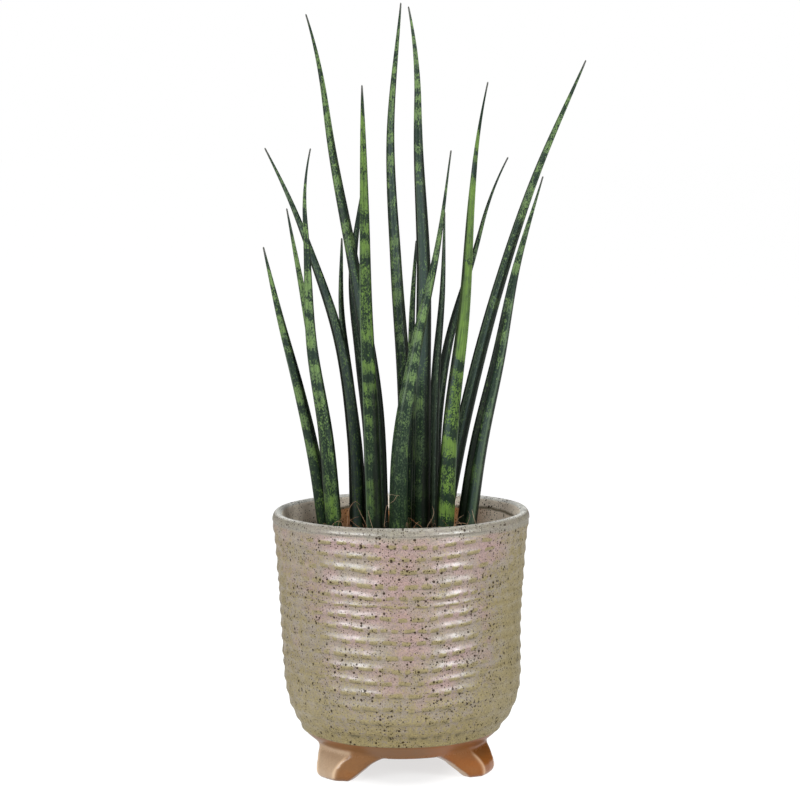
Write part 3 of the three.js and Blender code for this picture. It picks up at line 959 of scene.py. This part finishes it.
# Tufts round the feet of the leaves: how many fibres each has, how far out they start and how
# high they rise, in millimetres.
TUFT = 18
TUFT_SPREAD = (0.3, 5.5)
TUFT_HEIGHT = (3, 13)
FIBRE_SIDES, FIBRE_ROWS = 4, 10
TUFT_THICKNESS, LYING_THICKNESS = (0.07, 0.15), (0.12, 0.26)


def strand(bm, pattern, points, thickness):
    """One fibre: a thin rod along a smooth line through the points. Returns its vertex count."""
    line = [Curve(range(len(points)), axis) for axis in zip(*points)]
    last = len(points) - 1
    verts = copy_in(bm, pattern)
    for vert in verts:
        t = vert.co.z
        behind, middle, ahead = (
            Vector([float(axis(at * last)) for axis in line])
            for at in (max(t - 0.02, 0), t, min(t + 0.02, 1))
        )
        width = thickness * (0.28 + 0.55 * math.sin(math.pi * lerp(0.12, 0.9, t)))
        across = Vector((vert.co.x * width, vert.co.y * width, 0))
        vert.co = middle + (ahead - behind).to_track_quat("Z", "Y") @ across
    return len(verts)


def lying_fibre(rng, soil):
    """The points of a curved fibre that lies on the soil."""
    radius = FIBRE_REACH * math.sqrt(rng.random())
    angle = rng.uniform(0, math.tau)
    x, y = radius * math.cos(angle), radius * math.sin(angle)
    heading = rng.uniform(0, math.tau)
    reach, bend, arch = rng.uniform(4, 13), rng.uniform(-0.7, 0.7), rng.uniform(0.5, 4.5)
    points = []
    for t in (0, 1 / 3, 2 / 3, 1):
        turn = heading + bend * (t - 0.5)
        px = x + reach * t * math.cos(turn)
        py = y + reach * t * math.sin(turn)
        keep = min(1, STREWN_REACH / max(math.hypot(px, py), 1))
        px, py = px * keep, py * keep
        ground = soil_height(soil, math.hypot(px, py))
        points.append((px, py, ground + 0.3 + arch * math.sin(math.pi * t)))
    return points


def tuft_fibre(rng, soil, x, y, girth):
    """The points of a fibre that curls up beside the leaf that stands at x, y."""
    angle = rng.uniform(0, math.tau)
    out = girth / 2 + rng.uniform(*TUFT_SPREAD)
    px, py = x + out * math.cos(angle), y + out * math.sin(angle)
    ground = soil_height(soil, math.hypot(px, py))
    rise = rng.uniform(*TUFT_HEIGHT) * rng.uniform(0.5, 1)
    swing = angle + rng.choice((-1, 1)) * rng.uniform(1.2, 2.0)
    reach = rng.uniform(2, 9)
    droop = rng.uniform(0.55, 1.1)
    way = [(0, -1), (0.25, 0.55 * rise), (0.65, rise), (1, droop * rise)]
    dx, dy = reach * math.cos(swing), reach * math.sin(swing)
    return [(px + t * dx, py + t * dy, ground + z) for t, z in way]


def coir(soil):
    """Loose coir fibres: the standing ones, tufts round the leaves and curved ones on the soil."""
    rng = random.Random(FIBRE_SEED)
    pattern = as_mesh(rod(FIBRE_SIDES, FIBRE_ROWS), "fibre_pattern")
    bm = bmesh.new()
    tones = []
    for points, thickness, tone in STANDING_FIBRES:
        tones += [tone] * strand(bm, pattern, points, thickness)
    for x, y, _, girth, *_ in LEAVES:
        for _ in range(TUFT):
            points = tuft_fibre(rng, soil, x[0], y[0], girth)
            tone = 0.6 * rng.random()
            tones += [tone] * strand(bm, pattern, points, rng.uniform(*TUFT_THICKNESS))
    for _ in range(soil.fibres):
        points = lying_fibre(rng, soil)
        tone = rng.random()
        tones += [tone] * strand(bm, pattern, points, rng.uniform(*LYING_THICKNESS))
    bpy.data.meshes.remove(pattern)
    fibre = loose_material("coir_fibre", soil.coir, soil.straw, (0.8, 2), (0.6, 1.25), 0.6, (0.1, 0.5))
    finish_piece(bm, "coir_fibres", fibre, ["soil"], [("tone", tones)])


# ---------------------------- leaves

LEAF_FOOT = 108
LEAF_START = 150
TIP_RADIUS = 0.52
CHANNEL_DEPTH = 0.34
CHANNEL_SPREAD = 0.42
TAPER_POWER = 1.6
HOOK_START = 0.82

# Each leaf: x of its middle at five even steps up from the soil, y at the soil and at the
# tip, height of the tip, thickness at the soil, how bluntly it tapers, sideways hook of the
# tip, and the compass direction that its channel faces.
LEAVES = [
    ([-47, -53.5, -63, -74, -84], (-4, -30), 329, 9, 0.75, 0, 335),
    ([-44.5, -47, -53, -61.2, -70.5], (8, -8), 352, 8.5, 0.75, 0, 10),
    ([-40.8, -45.8, -54.6, -57.3, -60.5], (-17, -45), 389, 10.5, 1, 6, 350),
    ([-27, -29.5, -38.5, -58.5, -83], (-6, 25), 389, 9.5, 0.8, -2.5, 205),
    ([-25, -26.5, -32, -37.5, -37.5], (10, 38), 332, 6, 0.55, 0, 300),
    ([-19, -19.5, -25.5, -30.5, -25], (24, 45), 361, 9, 0.55, 0, 300),
    ([-12.5, -16, -29, -44, -54.5], (6, 40), 473, 10, 0.75, -5.5, 320),
    ([-16.5, -18.5, -21.5, -22.5, -23.5], (-17, -45), 427, 11, 0.65, 0, 175),
    ([4.5, 2.5, -3, -6.5, 0], (26, 60), 481, 10, 0.7, 0, 345),
    ([6.5, 5, 6.5, 7, 9.5], (9, -5), 332, 6.5, 0.6, 0, 265),
    ([12, 13, 14, 10.5, 10.5], (-6, -20), 475, 12, 0.75, -6, 195),
    ([-1.5, 0, 9.5, 22, 30], (-21, -60), 388, 12, 1.2, 0, 15),
    ([19, 20, 22, 26, 27.5], (4, 22), 349, 7.5, 0.8, 0, 250),
    ([22, 22, 30.5, 47.5, 63], (25, 55), 383, 8.5, 1, 5.5, 275),
    ([27, 30.5, 38.5, 43, 49.5], (-16, -40), 429, 11.5, 1, 3, 185),
    ([26, 41, 60, 84.5, 116.5], (12, 35), 444, 9.5, 0.7, 0, 280),
    ([40.5, 48.5, 60.5, 71, 86.5], (-3, -30), 372, 12.5, 1, 0, 240),
]

# Heights where each leaf's colour changes, from its dark tip down: to light, to dark, to
# light again and so on.
BANDS = [
    [316, 305, 300, 295, 286, 271, 267, 264, 242, 232, 225, 217, 208, 198],
    [335, 325, 324, 314, 312, 295, 291, 281, 276, 264, 256, 245, 235, 223, 213, 200],
    [367, 364, 362, 360, 359, 352, 341, 336, 332, 329, 315, 299, 297, 289, 285, 267, 258, 246, 241,
     226, 218, 211, 203, 196, 188, 181, 176, 161],
    [370, 366, 365, 356, 352, 348, 343, 334, 318, 312, 294, 283],
    [317, 311, 305, 296, 291, 282, 274, 269, 261, 256],
    [324, 317, 305, 299],
    [449, 445, 443, 438, 431, 421, 420, 415, 411, 396, 394, 389, 378, 376, 372, 362, 343, 337, 334,
     324],
    [409, 391, 389, 377, 375, 350, 345, 338, 333, 323, 318, 306, 303, 290, 287, 270, 259, 251, 246,
     239, 236, 232, 225, 219, 214, 211, 202, 197, 186, 162],
    [465, 460, 457, 451, 447, 444, 441, 435, 427, 404, 397, 391, 384, 376, 357, 353, 333, 326, 320,
     314, 310, 305, 300, 291, 278, 274, 271, 265, 228, 219],
    [319, 315, 312, 305, 301, 295, 290, 281, 276, 267],
    [466, 461, 457, 452, 450, 446, 444, 438, 435, 432, 430, 424, 421, 418, 413, 405, 391, 387, 379,
     376, 369, 367, 236, 222, 211, 196, 182, 172],
    [367, 362, 352, 321, 312, 301, 296, 284, 279, 269, 265, 259, 254, 247, 241, 234, 228, 222, 215,
     199, 193, 185, 179, 169],
    [349, 347, 338, 331],
    [348, 333, 329, 317, 305, 299],
    [399, 388, 386, 380, 372, 321, 320, 260, 254, 247, 244, 219, 212, 200, 192, 177, 171, 162],
    [421, 417, 411, 403, 401, 396, 394, 384, 379, 373, 366, 352, 347, 343, 294, 290],
    [359, 351, 342, 334, 330, 323, 319, 313, 297, 288, 278, 270, 227, 223, 193, 183],
]

# How fresh the green of each leaf's light bands is at the soil and higher up, from moss (0) to
# bright (1), how clearly its bands show, and its lengthwise stripes by kind: from and to which
# bearing round the leaf (0 faces the front, 90 the right), and from which height to which. A
# bearing of 95 or -95 lies past the leaf's edge, and a height of 108 is the leaf's lower end.
# The black stripes are painted shade on the flanks that turn from the light, and the blue
# stripes are painted sheen.
STRIPES = [
    (0.45, 0.80, 0.17, {"black": [(58, 95, 108, 290)], "pale": [(-75, -45, 245, 265)]}),
    (0.60, 0.95, 0.22, {"black": [(50, 95, 108, 330)]}),
    (0.42, 0.75, 0.18, {"black": [(58, 95, 200, 350), (48, 95, 108, 230), (-95, -68, 108, 270)],
        "mottled": [(-181, 181, 184, 235)]}),
    (0.20, 0.35, 0.10, {"black": [(-95, -56, 108, 345), (46, 95, 108, 318)],
        "blue": [(-50, 30, 120, 345)], "pale": [(-60, -46, 150, 215)]}),
    (0.20, 0.35, 0.13, {"black": [(18, 95, 108, 305)]}),
    (0.00, 0.20, 0.10, {"black": [(-95, -40, 108, 340), (25, 95, 108, 340)]}),
    (0.00, 0.95, 0.15, {
        "black": [(52, 95, 330, 400), (38, 95, 108, 330), (-95, -52, 108, 330), (-95, -68, 330, 400)],
        "blue": [(-50, 15, 120, 330)]}),
    (0.20, 0.70, 0.19, {
        "black": [(-95, -60, 130, 245), (58, 95, 240, 405), (18, 95, 190, 245), (0, 95, 108, 195)],
        "pale": [(-60, -46, 150, 345)], "mottled": [(-181, 181, 280, 312)]}),
    (0.45, 0.65, 0.13, {"black": [(-95, -55, 108, 440), (48, 95, 290, 440), (26, 95, 108, 300)],
        "blue": [(-30, 30, 290, 420)]}),
    (0.40, 0.55, 0.14, {"black": [(36, 95, 108, 310)]}),
    (0.15, 0.80, 0.18, {
        "black": [(-95, -48, 255, 391), (34, 95, 235, 391), (17, 95, 195, 240), (5, 95, 108, 200)],
        "pale": [(-50, -34, 240, 376)], "blue": [(-32, 22, 245, 385)]}),
    (0.05, 0.65, 0.15, {"black": [(66, 95, 108, 270), (36, 95, 270, 352)],
        "mottled": [(-181, 181, 108, 228)], "pale": [(-30, -20, 230, 300)]}),
    (0.00, 0.20, 0.08, {"black": [(-95, -32, 108, 340), (32, 95, 108, 340)],
        "pale": [(-12, 12, 108, 345)]}),
    (0.15, 0.45, 0.14, {"black": [(-95, -12, 108, 360), (45, 95, 108, 300)],
        "pale": [(10, 22, 150, 280)]}),
    (0.80, 0.66, 0.34, {"black": [(-95, -28, 225, 352), (-95, -46, 108, 240)],
        "mottled": [(-181, 181, 216, 250), (-181, 181, 178, 194), (-181, 181, 108, 158)],
        "blue": [(-34, 2, 200, 390)], "pale": [(62, 80, 180, 215)]}),
    (0.00, 0.70, 0.14, {"black": [(14, 95, 108, 345), (-95, -56, 108, 400)],
        "pale": [(-56, -36, 120, 405)], "blue": [(-10, 14, 120, 310)]}),
    (0.10, 0.60, 0.15, {"black": [(-95, -18, 108, 292), (48, 95, 108, 330)],
        "pale": [(25, 42, 150, 300)], "blue": [(0, 25, 120, 235)]}),
]
# These leaves get little painted sheen.
FRESH_LEAVES = (8, 15)  # leaves with hardly any waxy bloom
STRIPE_KINDS = ("black", "pale", "blue", "mottled")
FOOT_CLEAR = 0.65  # how clear the bands are at the soil, as a share of higher up
BURIED_ROWS = 6
BAND_REACH = 2.2  # how far from its edge a band is at its clearest
TIP_CAP = 0.0025  # share of the leaf over which its tip is rounded off
TIP_CROWDING = 1.15  # above 1, rows lie closer towards the tip
LIP_HEIGHT, LIP_AT, LIP_WIDTH = 0.045, 0.66, 0.13  # raised edges of the channel
FURROW_DEPTHS = (0.03, 0.075)  # as shares of the leaf's radius
LEAST_RADIUS = 1.4  # of the rest coordinates, so that the stipple doesn't crowd at the tip
REST_SPACING = 300  # between the leaves' rest coordinates, so that no two look the same
LEAF_SEED = 100


class Leaf:
    """One leaf's line and thickness at a share t of the way from the soil to the tip."""

    def __init__(self, x, y, top, girth, taper, hook, faces):
        self.top, self.girth, self.taper, self.hook, self.faces = top, girth, taper, hook, faces
        self.facing = Vector((math.cos(math.radians(faces)), math.sin(math.radians(faces)), 0))
        steps = len(x) - 1
        points = []
        for i, place in enumerate(x):
            t = i / steps
            lean = 0.45 * t + 0.55 * t * t
            points.append(Vector((place, lerp(*y, lean), lerp(LEAF_START, top, t))))
        first, last = 2 * points[0] - points[1], 2 * points[-1] - points[-2]
        self.points = [first, *points, last]

    def middle(self, t):
        steps = len(self.points) - 3
        i = min(int(t * steps), steps - 1)
        a, b, c, d = self.points[i : i + 4]
        u = t * steps - i
        out, back = (c - a) / 2, (d - b) / 2
        place = b + out * u + (3 * (c - b) - 2 * out - back) * u * u
        place = place + (2 * (b - c) + out + back) * u**3
        place.x += self.hook * max(0, (t - HOOK_START) / (1 - HOOK_START)) ** 2
        return place

    def along(self, t):
        step = 0.002
        return (self.middle(min(t + step, 1)) - self.middle(max(t - step, 0))).normalized()

    def radius(self, t):
        thin = self.girth / 2 * max(0, 1 - t**TAPER_POWER) ** self.taper
        return math.hypot(thin, TIP_RADIUS) * math.sqrt(min(1, (1.0001 - t) / TIP_CAP))

    def rows(self, count):
        """For each row: share of the way up, middle, way to the front, way to the side, radius."""
        found = []
        for line in range(count + 1):
            t = max(0, (line - BURIED_ROWS) / (count - BURIED_ROWS))
            t = 1 - (1 - t) ** TIP_CROWDING
            middle, along = self.middle(t), self.along(t)
            if line <= BURIED_ROWS:
                middle = self.middle(0)
                middle.z = lerp(LEAF_FOOT, LEAF_START, line / BURIED_ROWS)
                along = Vector((0, 0, 1))
            front = (self.facing - self.facing.dot(along) * along).normalized()
            found.append((t, *middle, *front, *along.cross(front), self.radius(t)))
        return np.array(found)


def into_band(edges, z):
    """How far inside a light band each height lies, from 0 at its edge to 1; below 0 in the dark."""
    above = np.array(edges) > z[:, None]
    nearest = np.abs(z[:, None] - np.array(edges)).min(axis=1)
    return np.where(above.sum(axis=1) % 2, 1, -1) * np.minimum(nearest / BAND_REACH, 1)


def stripe(bearing, z, first, last, low, high):
    """How far a place lies in a lengthwise stripe, from 0 to 1, on the front or mirrored behind."""
    here, mirrored = (
        smooth(first - 5, first + 5, around) * smooth(last + 5, last - 5, around)
        for around in (bearing, wrap(180 - bearing))
    )
    along = smooth(low - 8, low + 8, z) * smooth(high + 12, high - 12, z)
    return np.maximum(here, mirrored) * along


def leaf_piece(number, settings, material):
    """One round, channelled, furrowed leaf, replacing its CAD node."""
    leaf = Leaf(*LEAVES[number - 1])
    rng = random.Random(LEAF_SEED + number)
    bm = rod(settings.sides, settings.rows)
    co, angle = places(bm)
    line = np.round(co[:, 2] * settings.rows).astype(int)
    spread = np.hypot(co[:, 0], co[:, 1])
    found = leaf.rows(settings.rows)[line]
    t, radius = found[:, 0], found[:, 10]
    middle, front, side = found[:, 1:4], found[:, 4:7], found[:, 7:10]

    channel = np.exp(-((angle / CHANNEL_SPREAD) ** 2))
    section = 1 - CHANNEL_DEPTH * channel + LIP_HEIGHT * bump_of(np.abs(angle), LIP_AT, LIP_WIDTH)
    furrow = np.zeros(len(co))
    twist = rng.uniform(-0.25, 0.25)
    for _ in range(rng.randint(4, 6)):
        centre, depth = rng.uniform(1.1, math.tau - 1.1), rng.uniform(*FURROW_DEPTHS)
        width, phase = rng.uniform(0.05, 0.10), rng.uniform(0, math.tau)
        off = angle - centre + twist * t + 0.06 * np.sin(9 * t + phase)
        off = (off + math.pi) % math.tau - math.pi
        dip = bump_of(off, 0, width) * (0.6 + 0.4 * np.sin(14 * t + phase))
        section -= depth * dip
        furrow = np.maximum(furrow, dip * depth / FURROW_DEPTHS[1])
    section *= 1 + 0.012 * np.sin(3 * angle + 11 * t + number)
    reach = (radius * section * spread)[:, None]
    move(bm, middle + front * reach * np.cos(angle)[:, None] + side * reach * np.sin(angle)[:, None])
    bmesh.ops.recalc_face_normals(bm, faces=bm.faces)

    z = middle[:, 2]
    bearing = wrap(leaf.faces + np.degrees(angle) - 270)
    slant = rng.uniform(-2.2, 2.2) * np.sin(np.radians(bearing))
    keep = np.maximum(radius, LEAST_RADIUS)
    rest = np.stack([keep * np.cos(angle), keep * np.sin(angle), z + REST_SPACING * number], axis=1)
    low, high, clear, stripes = STRIPES[number - 1]
    clear = clear * lerp(FOOT_CLEAR, 1, smooth(0.05, 0.4, t))
    attributes = {
        "rest": rest * MM,
        "band": clear * into_band(BANDS[number - 1], z + slant),
        "lush": lerp(low, high, smooth(0.1, 0.55, t)),
        # painted sheen, strongest up the older leaves
        "haze": (0.15 if number in FRESH_LEAVES else 1) * smooth(0.05, 0.5, t),
        # painted shade in the bottoms of the furrows
        "groove": np.minimum(1, furrow),
        "tip": 1 - smooth(1.5, 9, (1 - t) * (leaf.top - LEAF_START)),
    }
    for kind in STRIPE_KINDS:
        found = [stripe(bearing, z, *place) for place in stripes.get(kind, ())]
        attributes[kind] = np.max([np.zeros(len(co)), *found], axis=0)
    name = f"leaf_{number:02d}"
    finish_piece(bm, f"banded_{name}", material, [name], attributes.items())


# ---------------------------- stage

# Radii, in metres, over which the floor's glow rises from its value under the pot to its far value: the
# dimmer middle is a painted shadow.
NEAR_FLOOR = 0.036
FAR_FLOOR = 0.078
FLOOR_STRETCH = (1.5, 1, 1)  # the shade ends sooner to the sides than to the front
FLOOR_SIZE = 40
MIRRORED = 0.3  # how strongly the room shows in glossy surfaces
UPPER_LEFT = (-0.75, 0, 0.66)
AIM_HEIGHT = 0.2
# Softboxes: bearing and elevation from the pot, distance, width and height.
SOFTBOXES = {
    "left": (-44, 12, 1.5, 1.15, 0.4),
    "right": (47, 12, 1.5, 0.66, 0.4),
    "top": (38, 62, 1.5, 0.9, 0.9),
}


def stage_floor(stage):
    bm = bmesh.new()
    bmesh.ops.create_grid(bm, x_segments=2, y_segments=2, size=FLOOR_SIZE)
    floor = add_object("floor", as_mesh(bm, "floor"))
    paint = Paint("plain_floor")
    level = paint.vector("MULTIPLY", paint.vector("ADD", paint.place, -AXIS), FLOOR_STRETCH)
    away = paint.vector("LENGTH", level, (0, 0, 0), "Value")
    # Painted shadow: the floor glows less under the pot.
    glow = paint.step(NEAR_FLOOR, FAR_FLOOR, away, stage.glow, stage.far_glow)
    floor.data.materials.append(paint.surface(
        Base_Color=stage.floor, Roughness=0.9, Emission_Color=(1, 1, 1), Emission_Strength=glow
    ))


def softbox(name, power):
    """A rectangular light that faces the plant."""
    azimuth, elevation, distance, width, height = SOFTBOXES[name]
    light = bpy.data.lights.new(f"softbox_{name}", "AREA")
    light.shape = "RECTANGLE"
    light.size, light.size_y, light.energy = width, height, power
    light.color = (0.94, 0.98, 1.0)
    holder = add_object(f"softbox_{name}", light)
    a, e = math.radians(azimuth), math.radians(elevation)
    out = Vector((math.sin(a) * math.cos(e), -math.cos(a) * math.cos(e), math.sin(e)))
    holder.location = AXIS + Vector((0, 0, AIM_HEIGHT)) + out * distance
    holder.rotation_euler = out.to_track_quat("Z", "Y").to_euler()


def room_light(stage):
    """A white surround to the camera; to the plant, light from the upper left and a dim rest."""
    world = bpy.data.worlds.new("studio")
    bpy.context.scene.world = world
    world.use_nodes = True
    world.node_tree.nodes.clear()
    sky = Nodes(world.node_tree)
    direction = sky.node("ShaderNodeTexCoord", output="Generated")
    towards = sky.vector("DOT_PRODUCT", direction, UPPER_LEFT, "Value")
    camera_ray = sky.node("ShaderNodeLightPath", output="Is Camera Ray")
    dim = (MIRRORED - 1) * camera_ray.beside("Is Glossy Ray") + 1
    strength = dim * sky.step(-0.3, 0.9, towards, stage.front, stage.back)
    lit, seen = (
        sky.node("ShaderNodeBackground", {"Color": (1, 1, 1), "Strength": power})
        for power in (strength, 1.0)
    )
    shown = sky.node("ShaderNodeMixShader", {0: camera_ray, 1: lit, 2: seen})
    out = world.node_tree.nodes.new("ShaderNodeOutputWorld")
    sky.feed(out.inputs["Surface"], shown)


def camera(stage):
    data = bpy.data.cameras.new("camera")
    data.sensor_width = 36
    data.lens = stage.focal
    data.clip_start, data.clip_end = 0.05, 100
    holder = add_object("camera", data)
    holder.location = AXIS + Vector((stage.aside, -stage.distance, stage.eye))
    holder.rotation_euler = (math.radians(90 - stage.pitch), 0, 0)
    bpy.context.scene.camera = holder


# ---------------------------- operators


class PLANT_OT_pot_wall(bpy.types.Operator):
    """Make the glazed body of the pot, with its ridges and dashes"""

    bl_idname = "plant.pot_wall"
    bl_label = "Glazed pot"

    def execute(self, context):
        pot_wall(context.scene.plant_pot)
        return {"FINISHED"}


class PLANT_OT_pot_base(bpy.types.Operator):
    """Make the clay base of the pot with its three feet"""

    bl_idname = "plant.pot_base"
    bl_label = "Clay base and feet"

    def execute(self, context):
        pot_base(context.scene.plant_pot)
        return {"FINISHED"}


class PLANT_OT_soil(bpy.types.Operator):
    """Make the soil and the bark chips on it"""

    bl_idname = "plant.soil"
    bl_label = "Soil and chips"

    def execute(self, context):
        soil_bed(context.scene.plant_soil)
        soil_chips(context.scene.plant_soil)
        return {"FINISHED"}


class PLANT_OT_coir(bpy.types.Operator):
    """Make the loose coir fibres"""

    bl_idname = "plant.coir"
    bl_label = "Coir fibres"

    def execute(self, context):
        coir(context.scene.plant_soil)
        return {"FINISHED"}


class PLANT_OT_leaves(bpy.types.Operator):
    """Make the seventeen banded leaves"""

    bl_idname = "plant.leaves"
    bl_label = "Leaves"

    def execute(self, context):
        settings = context.scene.plant_leaf
        material = leaf_material(settings)
        for number in range(1, len(LEAVES) + 1):
            leaf_piece(number, settings, material)
        return {"FINISHED"}


class PLANT_OT_stage(bpy.types.Operator):
    """Set the floor, the lights and the camera"""

    bl_idname = "plant.stage"
    bl_label = "Stage"

    def execute(self, context):
        stage = context.scene.plant_stage
        stage_floor(stage)
        for name in SOFTBOXES:
            softbox(name, getattr(stage, f"{name}_box"))
        room_light(stage)
        camera(stage)
        context.scene.view_settings.view_transform = "Standard"
        return {"FINISHED"}


class PLANT_PT_panel(bpy.types.Panel):
    """Lists the plant's pieces and their settings"""

    bl_idname = "PLANT_PT_panel"
    bl_label = "Snake Plant"
    bl_space_type = "VIEW_3D"
    bl_region_type = "UI"
    bl_category = "Snake Plant"

    def draw(self, context):
        for kind in OPERATORS:
            self.layout.operator(kind.bl_idname)
        for name, kind in SETTINGS.items():
            box = self.layout.box()
            box.label(text=kind.__doc__)
            for title in kind.__annotations__:
                box.prop(getattr(context.scene, name), title)


OPERATORS = [
    PLANT_OT_pot_wall, PLANT_OT_pot_base, PLANT_OT_soil, PLANT_OT_coir, PLANT_OT_leaves,
    PLANT_OT_stage,
]


def register():
    for kind in [*SETTINGS.values(), *OPERATORS, PLANT_PT_panel]:
        bpy.utils.register_class(kind)
    for name, kind in SETTINGS.items():
        setattr(bpy.types.Scene, name, bpy.props.PointerProperty(type=kind))


def unregister():
    for name in SETTINGS:
        delattr(bpy.types.Scene, name)
    for kind in reversed([*SETTINGS.values(), *OPERATORS, PLANT_PT_panel]):
        bpy.utils.unregister_class(kind)


def main():
    register()
    bpy.ops.plant.pot_wall()
    bpy.ops.plant.pot_base()
    bpy.ops.plant.soil()
    bpy.ops.plant.coir()
    bpy.ops.plant.leaves()
    bpy.ops.plant.stage()


if __name__ == "__main__":
    main()
